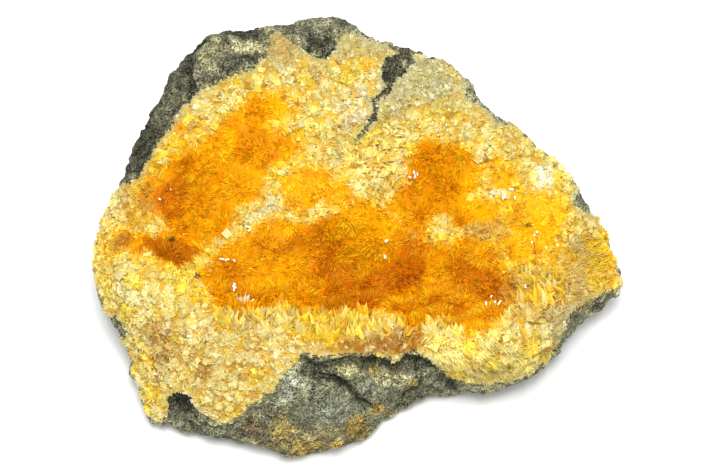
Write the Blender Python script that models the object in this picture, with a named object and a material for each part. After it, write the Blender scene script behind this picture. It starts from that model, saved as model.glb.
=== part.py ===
"""Calcite cluster: a loose lump of basalt, broken open across a hollow, and the one crust of yellow
calcite crystals that lines the hollow and climbs over its rim. Two nodes: basalt_matrix, which rests
on a flat broken foot, and calcite_crust, whose crystals are fused to the crust they grow from.

Units are metres, and the constants below are millimetres times MM. +Z is up, and the origin is the
centre of the bounding box at the foot. The broken face leans back, so its outlines are drawn on a
drawing plane square to the line of sight into the hollow: across (+X) and up the face.
"""

import math

import bmesh
import bpy
from mathutils import Matrix, Vector, noise
from mathutils.kdtree import KDTree

MM = 0.001

# --- Driving dimensions ---------------------------------------------------------------------------
FACE_ANGLE = math.radians(65)  # how steeply the line of sight into the hollow rises from the ground
BACK_HEIGHT = 36.0  # the top of the lump, in mm, halfway up the face
BACK_RISE = 0.10  # how much higher it gets per mm up the face
WING_START, WING_DROP = 22.0, 0.0062  # right of this the lump thins out to a wing
FOOT_SHRINK = 0.17  # how far the flank tucks in under the widest outline, as a share of its radius
FLANK_BULGE = 4.0  # the far flank swells this much below the rim,
FAR_SIDE = 40.0  # in full from this far behind the middle
SUNK = 1.5  # the foot is modelled this far below the ground, then cut off flat
FALLOFF = 1.3  # how steeply a hollow or a rib fades at its half width
CELL = 4.9  # size of the surface cells, and so of the crystals
CELL_SLIDE = 0.35  # their corners are moved along the surface by up to this share of a cell
LUMPS = ((15.0, 2.2), (6.5, 1.3))  # size and height of the lumps on bare rock
LEDGE_SIZE, LEDGE_HEIGHT, LEDGE_LEVEL = 26.0, 0.8, 1.2
UNDER_CRUST = 0.35  # the share of the lumps that shows through the crust
CALM_BELOW = 7.0  # the lumps halve from this height down to the ground
CRUST_LOWEST = 4.0  # the crust ends this far above the ground
CRUST_THICKNESS = 4.0  # in the hollow; it thins to CRUST_EDGE at its border
CRUST_EDGE = 0.9
CRUST_TAPER = 9.0  # the crust reaches its full thickness this far from its border
GAP = 0.4  # between the two nodes
CRYSTAL_LOW, CRYSTAL_HIGH = 1.0, 3.8  # how far crystal tips stand out of the crust
CRYSTAL_LEAN = 0.45  # how far a crystal may lean, as a share of its height
CRYSTAL_PATCH, LEAN_PATCH = 2.3, 4.0  # sizes of the noise that sets their heights and leans
SMALL_MORE_OFTEN = 1.5  # the power that makes small crystals commoner than tall ones
BORDER_HEIGHT = 0.45  # the share of its height that a crystal has at the border
TALL_FROM = 0.62  # crystals over this share of the range stand on a prism,
PRISM_HEIGHT = 0.35  # of this share of the crystal,
PRISM_TAPER, PRISM_TURN = 0.8, math.radians(14)  # narrower at its top than its foot, and turned
HIDDEN_THINNING = 0.85  # the share of the rock's faces that is spared where the crust hides them
HIDDEN_SMOOTHINGS = 4  # rounds of smoothing there
NUMBER = "number"
FACING = 0.1  # how squarely a face must look up, or at the eye, to count as facing it
SEED = 11  # of the noise that breaks up the surface and leans the crystals
ROCK_COLOUR = (0.10, 0.105, 0.09, 1.0)
CALCITE_COLOUR = (0.86, 0.52, 0.06, 1.0)

# Widest outline of the lump on the drawing plane: across, up the face, and height above the ground.
EDGE = [
    (-61, 18, 24), (-56.5, 31, 29), (-52.5, 37.5, 32), (-43, 49, 35), (-38.5, 53.5, 37),
    (-33, 55.5, 38), (-18, 56.5, 39), (-8.5, 59, 40), (-3, 56.5, 40), (7.5, 50.5, 39),
    (15, 49, 38), (23.5, 46, 36), (30, 41, 34), (35.5, 34, 31), (43.5, 27, 28), (53.5, 19, 25),
    (60.5, 9.5, 22), (65.5, 3, 20), (67, -2.5, 18), (69, -8, 15), (70, -13, 13),
    (65, -19, 11), (57, -26.5, 9), (54, -30.5, 8), (46, -37, 7), (35.5, -41.5, 6), (24, -41, 6),
    (14, -45, 5), (6, -50, 5), (-2, -56, 5), (-12, -59, 5), (-25, -56.5, 5), (-36, -54.5, 5),
    (-48.5, -51.5, 5), (-54.5, -46.5, 6), (-56.5, -39.5, 8), (-60.5, -30.5, 11), (-66, -19.5, 14),
    (-69.5, -10.5, 17), (-69.5, -2.5, 18), (-65.5, 7, 21),
]

# Hollows in the broken face: across, up, half width, half height, depth.
HOLLOWS = {
    "whole hollow": (-2, 5, 56, 30, 9.5),
    "left pocket": (-39, 6, 18, 13, 9),
    "front pocket": (0, -12, 30, 10, 12.5),
    "front pocket, right end": (29, -16, 14, 8, 6),
    "upper pocket": (15, 11, 12, 12, 7.5),
    "right pocket": (36, 9, 14, 9, 3),
    "far pocket": (-25, 31, 16, 9, 3),
}

# Ribs of crust between the pockets, the lips of the hollow, and the lobe of rock in front of it:
# route, half width, height.
RIBS = {
    "far rib": ([(5, 32), (1, 18), (-2, 6)], 7, 4),
    "left rib": ([(-2, 6), (-18, 8), (-32, 3)], 6, 3),
    "right rib": ([(-1, 4), (12, -2), (26, -3), (40, -4)], 5.5, 4),
    "front lip": (
        [(-58, -4), (-50, -14), (-38, -23), (-20, -27), (2, -27), (26, -28), (42, -22), (54, -14)], 6, 6),
    "far shelf": ([(-50, 26), (-34, 46), (-8, 53), (12, 45)], 8, 2),
    "right lip": ([(30, 34), (46, 20), (58, 2)], 7, 2.5),
    "front lobe": ([(-12, -34), (1, -37), (13, -37)], 4.5, 3.5),
}

# Border of the crust on the drawing plane. Outside it the basalt is bare.
CRUST_BORDER = [
    (-64, 15), (-55, 21), (-49, 30), (-44, 37), (-35, 41.5), (-25, 45.5), (-22, 52), (-15, 52),
    (-13, 47.5), (-6, 49), (-4, 54), (2, 56), (12, 60), (30, 52), (29, 38), (39.5, 29), (46, 32), (64, 16),
    (57.5, 10), (60, 5), (72, 2), (75, -12), (66, -15), (58, -18), (54, -28), (48, -36), (36, -40.5),
    (27, -38), (20, -32), (12, -30.5), (-4, -31), (-14, -31), (-19, -37), (-27, -44), (-34, -49.5),
    (-42, -46), (-46, -41.5), (-50, -42.5), (-50, -48), (-56, -52), (-64, -40), (-74, -20), (-76, 0),
]
# A patch where the basalt comes through the crust.
BARE_PATCH = [(13, 48.5), (7, 46), (5.5, 41), (10, 38.5), (13, 42)]


# --- The relief of the broken face ----------------------------------------------------------------
def smooth(x):
    x = min(1.0, max(0.0, x))
    return x * x * (3 - 2 * x)


def closed_curve(points, steps):
    """A smooth closed curve through the points, with this many steps between each pair."""
    count, found = len(points), []
    for i in range(count):
        a, b, c, d = (Vector(points[(i + k) % count]) for k in (-1, 0, 1, 2))
        for s in range(steps):
            t = s / steps
            found.append(0.5 * (2 * b + (c - a) * t + (2 * a - 5 * b + 4 * c - d) * t * t
                                + (3 * b - a - 3 * c + d) * t ** 3))
    return found


def to_segment(p, a, b):
    """Distance from p to the stretch from a to b, all on the drawing plane."""
    along = b - a
    t = max(0.0, min(1.0, (p - a).dot(along) / along.length_squared))
    return (p - a - along * t).length


def to_route(p, route):
    return min(to_segment(p, Vector(a), Vector(b)) for a, b in zip(route, route[1:]))


def inside(p, border):
    """Whether p lies inside a closed border on the drawing plane."""
    found = False
    for (ax, ay), (bx, by) in zip(border, border[1:] + border[:1]):
        if (ay > p.y) != (by > p.y) and p.x < (bx - ax) * (p.y - ay) / (by - ay) + ax:
            found = not found
    return found


def face_height(p):
    """Height of the broken face above the ground, in mm, away from the outline."""
    height = BACK_HEIGHT + BACK_RISE * p.y - WING_DROP * max(0.0, p.x - WING_START) ** 2
    for across, up, half_width, half_height, depth in HOLLOWS.values():
        r = ((p.x - across) / half_width) ** 2 + ((p.y - up) / half_height) ** 2
        height -= depth * math.exp(-FALLOFF * r)
    for route, half_width, rise in RIBS.values():
        height += rise * math.exp(-FALLOFF * (to_route(p, route) / half_width) ** 2)
    return height


def place(p, height):
    """The point at this height, in mm, that lies at p on the drawing plane."""
    y = (p.y - height * math.cos(FACE_ANGLE)) / math.sin(FACE_ANGLE)
    return Vector((p.x, y, height)) * MM


def drawn(point):
    """Where a point of the lump lies on the drawing plane, in mm."""
    y = point.y * math.sin(FACE_ANGLE) + point.z * math.cos(FACE_ANGLE)
    return Vector((point.x, y)) / MM


# --- The lump -------------------------------------------------------------------------------------
def shoulder(p):
    """How far in from the outline the face reaches its full height: wide at the front flank."""
    return 9.0 + 17.0 * smooth((-p.y - 18) / 26) * smooth((52 - p.x) / 20)


def face_rings(edge):
    """Rings of points over the broken face, from the outline to its middle."""
    rings = []
    for share in [1, 0.985, 0.965, 0.94, 0.91, 0.88] + [0.84 - 0.04 * i for i in range(21)]:
        ring = []
        for point in edge:
            outer = Vector(point[:2])
            p = outer * share
            t = min(1.0, (outer - p).length / shoulder(outer))
            height = point[2] + (face_height(p) - point[2]) * math.sin(t * math.pi / 2)
            ring.append(place(p, height))
        rings.append(ring)
    return rings


def flank_rings(edge):
    """Rings of points from the outline down to the foot, which is sunk below the ground."""
    outline = [place(Vector(point[:2]), point[2]) for point in edge]
    middle = sum(outline, Vector()) / len(outline)
    rings = []
    for step in range(1, 9):
        turn = step / 8 * math.pi / 2
        ring = []
        for point in outline:
            out = Vector((point.x - middle.x, point.y - middle.y, 0))
            far = smooth(out.y / (FAR_SIDE * MM))
            out *= 1 - FOOT_SHRINK * (1 - math.cos(turn))
            out += out.normalized() * FLANK_BULGE * MM * far * math.sin(2 * turn)
            z = point.z - (point.z + SUNK * MM) * math.sin(turn)
            ring.append(Vector((middle.x + out.x, middle.y + out.y, z)))
        rings.append(ring)
    return rings


def fill_between(bm, a, b):
    count = len(a)
    for i in range(count):
        j = (i + 1) % count
        bm.faces.new((a[i], a[j], b[j], b[i]))


def smooth_lump():
    """The closed lump with its hollow, before its surface is broken up."""
    edge = closed_curve(EDGE, 4)
    bm = bmesh.new()
    rings = [[bm.verts.new(p) for p in ring] for ring in face_rings(edge)[:-1]]
    flank = [[bm.verts.new(p) for p in ring] for ring in flank_rings(edge)]
    for a, b in zip(rings, rings[1:]):
        fill_between(bm, a, b)
    for a, b in zip([rings[0]] + flank, flank):
        fill_between(bm, b, a)
    bm.faces.new(rings[-1])
    bm.faces.new(flank[-1])
    bmesh.ops.recalc_face_normals(bm, faces=bm.faces)
    return bm


def even_cells(bm):
    """The same closed shape in even cells, by a voxel Remesh."""
    mesh = bpy.data.meshes.new("lump")
    bm.to_mesh(mesh)
    bm.free()
    obj = bpy.data.objects.new("lump", mesh)
    bpy.context.scene.collection.objects.link(obj)
    remesh = obj.modifiers.new("cells", "REMESH")
    remesh.mode = "VOXEL"
    remesh.voxel_size = CELL * MM
    found = bmesh.new()
    found.from_object(obj, bpy.context.evaluated_depsgraph_get())
    bpy.data.objects.remove(obj)
    return found


def roughen(bm):
    """Breaks up the surface: lumps and ledges on bare rock, gentler ones under the crust."""
    bm.normal_update()
    moves = []
    for v in bm.verts:
        p = v.co / MM
        size = sum(noise.noise(p / width) * height for width, height in LUMPS)
        if inside(drawn(v.co), CRUST_BORDER) and v.normal.z > FACING:
            size *= UNDER_CRUST
        else:
            ledge = noise.ridged_multi_fractal(p / LEDGE_SIZE, 1.0, 2.1, 3, 1.0, 2.0)
            size += (ledge - LEDGE_LEVEL) * LEDGE_HEIGHT
        calm = smooth(1 - p.z / CALM_BELOW) / 2
        slide = noise.noise_vector(p / CRYSTAL_PATCH) * CELL * CELL_SLIDE
        slide -= v.normal * slide.dot(v.normal)
        moves.append((v.normal * size * (1 - calm) + slide) * MM)
    for v, move in zip(bm.verts, moves):
        v.co += move


def cut_foot(bm):
    """Cuts the lump off flat at the ground."""
    geometry = bm.verts[:] + bm.edges[:] + bm.faces[:]
    cut = bmesh.ops.bisect_plane(bm, geom=geometry, plane_co=(0, 0, 0), plane_no=(0, 0, -1), clear_outer=True)
    rim = [e for e in cut["geom_cut"] if isinstance(e, bmesh.types.BMEdge)]
    bmesh.ops.contextual_create(bm, geom=rim)
    bmesh.ops.dissolve_degenerate(bm, dist=0.3 * MM, edges=bm.edges)
    bmesh.ops.triangulate(bm, faces=bm.faces)


# --- Where the crust lies -------------------------------------------------------------------------
def under_crust(bm):
    return [f for f in bm.faces if f.material_index]


def mark_crust(bm):
    """Gives the faces under the crust material 1, in one patch whose border never meets itself."""
    bm.normal_update()
    sight = Vector((0, -math.cos(FACE_ANGLE), math.sin(FACE_ANGLE)))
    for f in bm.faces:
        p = drawn(f.calc_center_median())
        on_face = f.normal.dot(sight) > FACING and f.calc_center_median().z > CRUST_LOWEST * MM
        f.material_index = int(on_face and inside(p, CRUST_BORDER) and not inside(p, BARE_PATCH))
    keep_largest(bm)
    pinched = True
    while pinched:
        pinched = [v for v in bm.verts if sum(on_border(e) for e in v.link_edges) > 2]
        for v in pinched:
            for f in v.link_faces:
                f.material_index = 0
    keep_largest(bm)


def on_border(edge):
    return len({f.material_index for f in edge.link_faces}) == 2


def keep_largest(bm):
    left = set(under_crust(bm))
    patches = []
    while left:
        todo, patch = [left.pop()], []
        while todo:
            face = todo.pop()
            patch.append(face)
            for e in face.edges:
                for f in e.link_faces:
                    if f in left:
                        left.remove(f)
                        todo.append(f)
        patches.append(patch)
    patches.sort(key=len)
    for patch in patches[:-1]:
        for f in patch:
            f.material_index = 0


def border_distance(bm):
    """How far each vertex of the crust's patch is from the border."""
    border = [v for v in bm.verts if any(on_border(e) for e in v.link_edges)]
    tree = KDTree(len(border))
    for i, v in enumerate(border):
        tree.insert(v.co, i)
    tree.balance()
    in_patch = [any(f.material_index for f in v.link_faces) for v in bm.verts]
    return [tree.find(v.co)[2] if inner else 0.0 for v, inner in zip(bm.verts, in_patch)]


# --- The two nodes --------------------------------------------------------------------------------
def number(bm):
    """Writes each vertex's number on it, which it keeps when the mesh is copied or thinned."""
    own = bm.verts.layers.int.new(NUMBER)
    bm.verts.index_update()
    for v in bm.verts:
        v[own] = v.index


def is_hidden(distance):
    return distance > CELL * MM


def pressed(cells, distance):
    """A copy of the cells, pressed in and smoothed where the crust covers them: the rock under it."""
    rock = cells.copy()
    for v in rock.verts:
        depth = CRUST_THICKNESS * smooth(distance[v.index] / (CRUST_TAPER * MM))
        v.co -= v.normal * depth * MM
    hidden = [v for v, d in zip(rock.verts, distance) if is_hidden(d)]
    for _ in range(HIDDEN_SMOOTHINGS):
        bmesh.ops.smooth_vert(rock, verts=hidden, factor=0.5, use_axis_x=True, use_axis_y=True, use_axis_z=True)
    return rock


def thinned(bm, distance):
    """The rock, with fewer faces where the crust hides them."""
    mesh = bpy.data.meshes.new("rock")
    bm.to_mesh(mesh)
    obj = bpy.data.objects.new("rock", mesh)
    bpy.context.scene.collection.objects.link(obj)
    hidden = {i for i, d in enumerate(distance) if is_hidden(d)}
    obj.vertex_groups.new(name="hidden").add(sorted(hidden), 1.0, "REPLACE")
    spare = sum(hidden.issuperset(v.index for v in f.verts) for f in bm.faces)
    decimate = obj.modifiers.new("thin", "DECIMATE")
    decimate.vertex_group = "hidden"
    decimate.ratio = 1 - HIDDEN_THINNING * spare / len(bm.faces)
    bm.free()
    found = bmesh.new()
    found.from_object(obj, bpy.context.evaluated_depsgraph_get())
    found.normal_update()
    bpy.data.objects.remove(obj)
    return found


def crust_shell(cells, rock, distance):
    """The crust without its crystals: an outer skin over the cells, a lining GAP over the thinned
    rock, and a wall between them all round the border. Also its skin faces, and how far in they are."""
    crust = bmesh.new()
    own, rock_own = cells.verts.layers.int[NUMBER], rock.verts.layers.int[NUMBER]
    top, low, low_at_border = {}, {}, {}
    for v in cells.verts:
        if any(f.material_index for f in v.link_faces):
            inward = smooth(distance[v[own]] / (CRUST_TAPER * MM))
            proud = GAP + CRUST_EDGE * (1 - inward)
            top[v[own]] = crust.verts.new(v.co + v.normal * proud * MM)
    for v in rock.verts:
        if any(f.material_index for f in v.link_faces):
            low[v.index] = crust.verts.new(v.co + v.normal * GAP * MM)
            if any(on_border(e) for e in v.link_edges):
                low_at_border[v[rock_own]] = low[v.index]
    skin = []
    for f in under_crust(cells):
        numbers = [v[own] for v in f.verts]
        inward = sum(distance[n] for n in numbers) / 3 / (CRUST_TAPER * MM)
        skin.append((crust.faces.new([top[n] for n in numbers]), min(1.0, inward)))
    for f in under_crust(rock):
        crust.faces.new([low[v.index] for v in reversed(f.verts)])
    for f in under_crust(cells):
        for loop in f.loops:
            if on_border(loop.edge):
                a, b = loop.vert[own], loop.link_loop_next.vert[own]
                crust.faces.new((top[b], top[a], low_at_border[a], low_at_border[b]))
    crust.normal_update()
    return crust, skin


def grow_crystals(crust, skin):
    """Turns each face of the crust's skin into a crystal of three flat faces. Tall ones stand on a
    short three-sided prism."""
    for face, inward in skin:
        centre, normal = face.calc_center_median(), face.normal.copy()
        p = centre / MM
        share = noise.noise(p / CRYSTAL_PATCH) * 0.5 + 0.5
        height = CRYSTAL_LOW + (CRYSTAL_HIGH - CRYSTAL_LOW) * share ** SMALL_MORE_OFTEN
        height *= BORDER_HEIGHT + (1 - BORDER_HEIGHT) * inward
        axis = normal + noise.noise_vector(p / LEAN_PATCH) * CRYSTAL_LEAN
        if share > TALL_FROM and inward > 0.5:
            face = bmesh.ops.extrude_discrete_faces(crust, faces=[face])["faces"][0]
            turn = Matrix.Rotation(PRISM_TURN, 4, normal)
            for v in face.verts:
                v.co = centre + turn @ (v.co - centre) * PRISM_TAPER + axis * height * PRISM_HEIGHT * MM
        point = bmesh.ops.poke(crust, faces=[face])["verts"][0]
        point.co = centre + axis * height * MM


def centre(*meshes):
    """Moves the meshes together so that the box around them stands centred on the origin."""
    for axis in (0, 1):
        along = [v.co[axis] for bm in meshes for v in bm.verts]
        middle = (min(along) + max(along)) / 2
        for bm in meshes:
            for v in bm.verts:
                v.co[axis] -= middle


def finish(bm, name, colour, roughness):
    """Makes a finished mesh an object with its own material."""
    mesh = bpy.data.meshes.new(name)
    for f in bm.faces:
        f.material_index = 0
    bm.to_mesh(mesh)
    bm.free()
    material = bpy.data.materials.new(name)
    material.use_nodes = True
    shader = material.node_tree.nodes["Principled BSDF"]
    shader.inputs["Base Color"].default_value = colour
    shader.inputs["Roughness"].default_value = roughness
    mesh.materials.append(material)
    obj = bpy.data.objects.new(name, mesh)
    bpy.context.scene.collection.objects.link(obj)


def build():
    for obj in list(bpy.data.objects):
        bpy.data.objects.remove(obj)
    noise.seed_set(SEED)
    cells = even_cells(smooth_lump())
    roughen(cells)
    cut_foot(cells)
    mark_crust(cells)
    number(cells)
    cells.normal_update()
    distance = border_distance(cells)
    rock = thinned(pressed(cells, distance), distance)
    crust, skin = crust_shell(cells, rock, distance)
    grow_crystals(crust, skin)
    centre(rock, crust)
    finish(rock, "basalt_matrix", ROCK_COLOUR, 0.85)
    finish(crust, "calcite_crust", CALCITE_COLOUR, 0.2)
    cells.free()


build()
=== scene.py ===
import math

import bmesh
import bpy
import numpy as np
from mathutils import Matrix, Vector, noise
from mathutils.kdtree import KDTree


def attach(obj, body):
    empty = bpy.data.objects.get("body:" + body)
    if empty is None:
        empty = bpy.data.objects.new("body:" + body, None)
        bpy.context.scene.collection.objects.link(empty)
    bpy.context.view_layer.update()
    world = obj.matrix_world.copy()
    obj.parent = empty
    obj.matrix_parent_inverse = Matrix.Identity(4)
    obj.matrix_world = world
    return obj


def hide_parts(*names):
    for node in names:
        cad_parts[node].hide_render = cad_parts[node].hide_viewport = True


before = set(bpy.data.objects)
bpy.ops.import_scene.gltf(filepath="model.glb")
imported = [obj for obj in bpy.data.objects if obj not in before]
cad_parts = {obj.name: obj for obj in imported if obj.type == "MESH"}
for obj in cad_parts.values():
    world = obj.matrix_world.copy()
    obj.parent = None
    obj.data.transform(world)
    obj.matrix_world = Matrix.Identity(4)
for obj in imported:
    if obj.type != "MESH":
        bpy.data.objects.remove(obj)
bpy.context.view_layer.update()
noise.seed_set(5)
print("frame loaded")

mm = 0.001
scene = bpy.context.scene

# the drawing plane is the one that the hollow faces: u runs right and v runs up it, in mm
plane = {
    "lean": 65,            # degrees between its normal and the floor
    "shift": (0.677, 9.321),
    "facing": 0.1,         # how far a face has to turn to the plane to carry calcite
    "facingReach": 12,     # mm of reach that a full turn away from that takes
}
leanSin = math.sin(math.radians(plane["lean"]))
leanCos = math.cos(math.radians(plane["lean"]))
outward = np.array([0, -leanCos, leanSin])   # the plane's normal, out of the hollow
rightward = np.array([1.0, 0, 0])
upward = np.array([0, leanSin, leanCos])

viewGamma = 0.85           # the picture's contrast, for which the colours are given
palette = {                # screen colours, 0 to 255
    # umberRustAndShade is also painted shade in the pockets' deepest places
    "umberRustAndShade": (166, 84, 2), "rust": (186, 100, 4), "deepOrange": (200, 120, 0),
    "rustPale": (214, 152, 14), "orange": (210, 143, 4), "amber": (232, 174, 6),
    "gold": (226, 190, 26), "lemon": (214, 200, 102), "lemonPale": (218, 208, 136),
    "straw": (204, 190, 122), "bright": (250, 234, 136), "cream": (212, 207, 160),
    "pale": (216, 210, 184), "snow": (244, 246, 240), "dustyCrust": (160, 154, 112),
    # the crevice brown is painted shade in the clefts between clumps and also the own tone of a few
    # dark crystals
    "honey": (182, 140, 54), "creviceShadeAndBrown": (170, 116, 22), "olive": (178, 132, 44),
    # umber and basaltDarkAndShade are dark tones of the stone and also painted shade in holes,
    # cracks, grooves, the seam and under overhangs
    "brown": (142, 90, 30), "umberAndShade": (98, 58, 22), "basalt": (94, 94, 72),
    "basaltDarkAndShade": (40, 40, 26), "basaltBlue": (120, 125, 106), "slate": (118, 118, 90),
    # moss is partly a painted highlight on the rim's ledge and the lobe's top
    "mossAndHighlight": (170, 165, 118), "ochre": (172, 138, 44), "dust": (142, 139, 106),
    "chalk": (172, 174, 152),
}


def meshOf(bm, name):
    mesh = bpy.data.meshes.new(name)
    bm.to_mesh(mesh)
    bm.free()
    return mesh


def placed(name, data):
    thing = bpy.data.objects.new(name, data)
    scene.collection.objects.link(thing)
    return thing


def linear(name):
    screen = (np.array(palette[name]) / 255) ** viewGamma
    return np.where(screen <= 0.04045, screen / 12.92, ((screen + 0.055) / 1.055) ** 2.4)


def smoothStep(low, high, value):
    share = np.clip((value - low) / (high - low), 0, 1)
    return share * share * (3 - 2 * share)


def noiseAt(points, size, shift=0.0):
    # smooth noise from -1 to 1 with lumps about size mm across
    scaled = points / (size * mm) + shift
    return np.array([noise.noise(p) for p in scaled.tolist()])


def toPlane(points):
    u = points[:, 0] / mm + plane["shift"][0]
    v = (points[:, 1] / mm - plane["shift"][1]) * leanSin + points[:, 2] / mm * leanCos
    return np.stack([u, v], axis=1)


def pathDistance(uv, path, closed=False):
    ends = np.array(path, float)
    starts = ends if closed else ends[:-1]
    stops = np.roll(ends, -1, axis=0) if closed else ends[1:]
    nearest = np.full(len(uv), 1e9)
    for start, stop in zip(starts, stops):
        run = stop - start
        along = np.clip((uv - start) @ run / (run @ run), 0, 1)
        nearest = np.minimum(nearest, np.linalg.norm(uv - start - along[:, None] * run, axis=1))
    return nearest


def insideDistance(uv, outline):
    # distance to a closed outline, positive inside it
    ends = np.array(outline, float)
    inside = np.zeros(len(uv), bool)
    for (u1, v1), (u2, v2) in zip(ends, np.roll(ends, -1, axis=0)):
        crosses = (v1 > uv[:, 1]) != (v2 > uv[:, 1])
        at = u1 + (uv[:, 1] - v1) * (u2 - u1) / (v2 - v1 + 1e-12)
        inside ^= crosses & (uv[:, 0] < at)
    return np.where(inside, 1, -1) * pathDistance(uv, outline, closed=True)


def spotReach(uv, u, v, halfWidth, halfHeight):
    # 0 in the middle of a spot, 1 on its edge
    return np.hypot((uv[:, 0] - u) / halfWidth, (uv[:, 1] - v) / halfHeight)


def mixed(first, second, share):
    share = np.broadcast_to(share, (len(first),))[:, None]
    return first * (1 - share) + second * share


brush = {   # how spots and streaks of colour are laid
    "wanderSizes": (7, 2.4),      # mm, how long the waves of their edges are
    "raggedSize": 1.1,
    "softEdge": (0.65, 1.3),      # whole inside the first, gone beyond the second
}


def paint(points, colour, spots, streaks=(), wander=(2.2, 0.9), ragged=0.0):
    # spots are (u, v, half width, half height, colour, strength)
    # and streaks (path, half width, colour, strength), both with soft wandering edges
    uv = toPlane(points)
    for axis, shifts in enumerate(((3.1, 8.7), (5.3, 1.9))):
        for far, size, shift in zip(wander, brush["wanderSizes"], shifts):
            uv[:, axis] += far * noiseAt(points, size, shift)
    rough = ragged * noiseAt(points, brush["raggedSize"], 2.6) if ragged else 0
    layers = [(spotReach(uv, *spot[:4]), *spot[4:]) for spot in spots]
    for line, halfWidth, tone, strength in streaks:
        layers.append((pathDistance(uv, line) / halfWidth, tone, strength))
    for reach, tone, strength in layers:
        share = strength * (1 - smoothStep(*brush["softEdge"], reach + rough))
        colour = mixed(colour, linear(tone), share)
    return colour


def dappled(points, colour, patches, seen):
    for size, shift, tone, strength in patches:
        share = smoothStep(*seen, noiseAt(points, size, shift)) * strength
        colour = mixed(colour, linear(tone), share)
    return colour


# a skin: one closed surface round the stone and its crust, which both are made from

skinSizes = {
    "calcite": {"voxel": 0.8, "smoothings": 12},
    "stone": {"voxel": 1.62, "smoothings": 4},
    "footRise": 0.35,
    "broadTurns": 60,      # smoothings that leave the broad form
}


def smooth(bm, verts, factor):
    bmesh.ops.smooth_vert(
        bm, verts=verts, factor=factor, use_axis_x=True, use_axis_y=True, use_axis_z=True
    )


def largestIsland(bm):
    waiting = set(bm.verts)
    largest = []
    while waiting:
        first = waiting.pop()
        island = [first]
        edge = [first]
        while edge:
            for link in edge.pop().link_edges:
                for vert in link.verts:
                    if vert in waiting:
                        waiting.discard(vert)
                        island.append(vert)
                        edge.append(vert)
        if len(island) > len(largest):
            largest = island
    kept = set(largest)
    bmesh.ops.delete(bm, geom=[v for v in bm.verts if v not in kept], context="VERTS")


def buildSkin(kind):
    bm = bmesh.new()
    for name in ("basalt_matrix", "calcite_crust"):
        bm.from_mesh(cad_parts[name].data)
    bmesh.ops.remove_doubles(bm, verts=bm.verts, dist=0.001 * mm)
    piece = placed("skin", meshOf(bm, "skin"))
    remesh = piece.modifiers.new("even", "REMESH")
    remesh.mode = "VOXEL"
    remesh.voxel_size = skinSizes[kind]["voxel"] * mm
    depsgraph = bpy.context.evaluated_depsgraph_get()
    even = bpy.data.meshes.new_from_object(piece.evaluated_get(depsgraph))
    bpy.data.objects.remove(piece)
    bm = bmesh.new()
    bm.from_mesh(even)
    largestIsland(bm)
    foot = [v for v in bm.verts if v.co.z < skinSizes["footRise"] * mm]
    for turn in range(skinSizes[kind]["smoothings"]):
        smooth(bm, bm.verts, 0.5)
        for vert in foot:
            vert.co.z = 0
    bmesh.ops.recalc_face_normals(bm, faces=bm.faces)
    bm.normal_update()
    return bm


class Survey:
    # what is known of each point of a surface
    def __init__(self, bm):
        bm.verts.index_update()
        bm.normal_update()
        self.points = np.array([v.co[:] for v in bm.verts])
        self.normals = np.array([v.normal[:] for v in bm.verts])
        self.plane = toPlane(self.points)
        self.facing = self.normals @ outward
        self.height = self.points[:, 2] / mm
        self.reach = crustReach(self)

    def moved(self, heights):
        return self.points + self.normals * (heights * mm)[:, None]


def reliefOf(skin, known):
    # how far each point stands out of the broad form round it, in mm
    bm = skin.copy()
    for turn in range(skinSizes["broadTurns"]):
        smooth(bm, bm.verts, 1)
    broad = np.array([v.co[:] for v in bm.verts])
    bm.free()
    return np.einsum("ij,ij->i", known.points - broad, known.normals) / mm


# where calcite covers the stone, as outlines on the drawing plane in mm

crustOutline = [
    (-59.7, 14.9), (-55.2, 20.8), (-52.5, 25.6), (-49.3, 29.6), (-47.2, 33.6), (-44, 36.8),
    (-40.5, 39.5), (-35.2, 41.6), (-29.9, 43.7), (-26.2, 45.9), (-24.2, 49.3),
    (-23.2, 53.6), (-21, 54.3), (-17.9, 51.9), (-14.9, 50), (-12.3, 48.1), (-8.5, 47),
    (-6, 49.5), (-5.5, 51.5), (-5.5, 53.6), (-1.4, 53.9), (1.6, 52.8), (4.5, 52), (7.6, 51),
    (13, 50.2), (19, 49), (26, 47), (28, 42.7), (29.6, 37.1), (36, 32.3), (39.5, 29.6), (43.5, 32),
    (60, 24), (62.1, 13.6), (58.9, 12.3), (57.9, 10.4), (58.4, 7.5), (60.3, 6.4), (70, 6),
    (76, -5.1), (72.8, -12.8), (66.9, -14.4), (63.5, -16.5), (59.5, -17.1), (56.3, -21.1),
    (54.7, -25.1), (53.3, -28.5), (52, -30.9), (49.3, -34.7), (43.5, -37.9), (38.1, -39.2),
    (34.1, -39.5), (27.5, -38.7), (24, -36.8), (21.3, -33.9), (18.1, -31.7), (14.7, -30.4),
    (11.5, -30.9), (10.1, -33.1), (7.5, -32.3), (3.5, -30.9), (-3.2, -30.4), (-8, -31.6),
    (-10.4, -31.9), (-12.2, -30.4), (-14.2, -30.3), (-15.6, -32.2), (-19.2, -37.1),
    (-21.9, -39.7), (-25.3, -43.7), (-28.5, -44.5), (-29.9, -46.9), (-32.5, -48.5),
    (-36, -49.1), (-39.2, -47.5), (-41.9, -45.9), (-44.5, -41.6), (-47.2, -41.1),
    (-49.9, -41.9), (-50.4, -43.7), (-49.3, -45.9), (-49.9, -47.7), (-52.5, -49.1),
    (-58, -51), (-66, -38.4), (-68.5, -22.4), (-63.7, -21.3), (-60.5, -25.1),
    (-61.6, -27.2), (-65.3, -26.4), (-76, -11.7), (-78, -3.7), (-74, 9.6),
]
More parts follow.
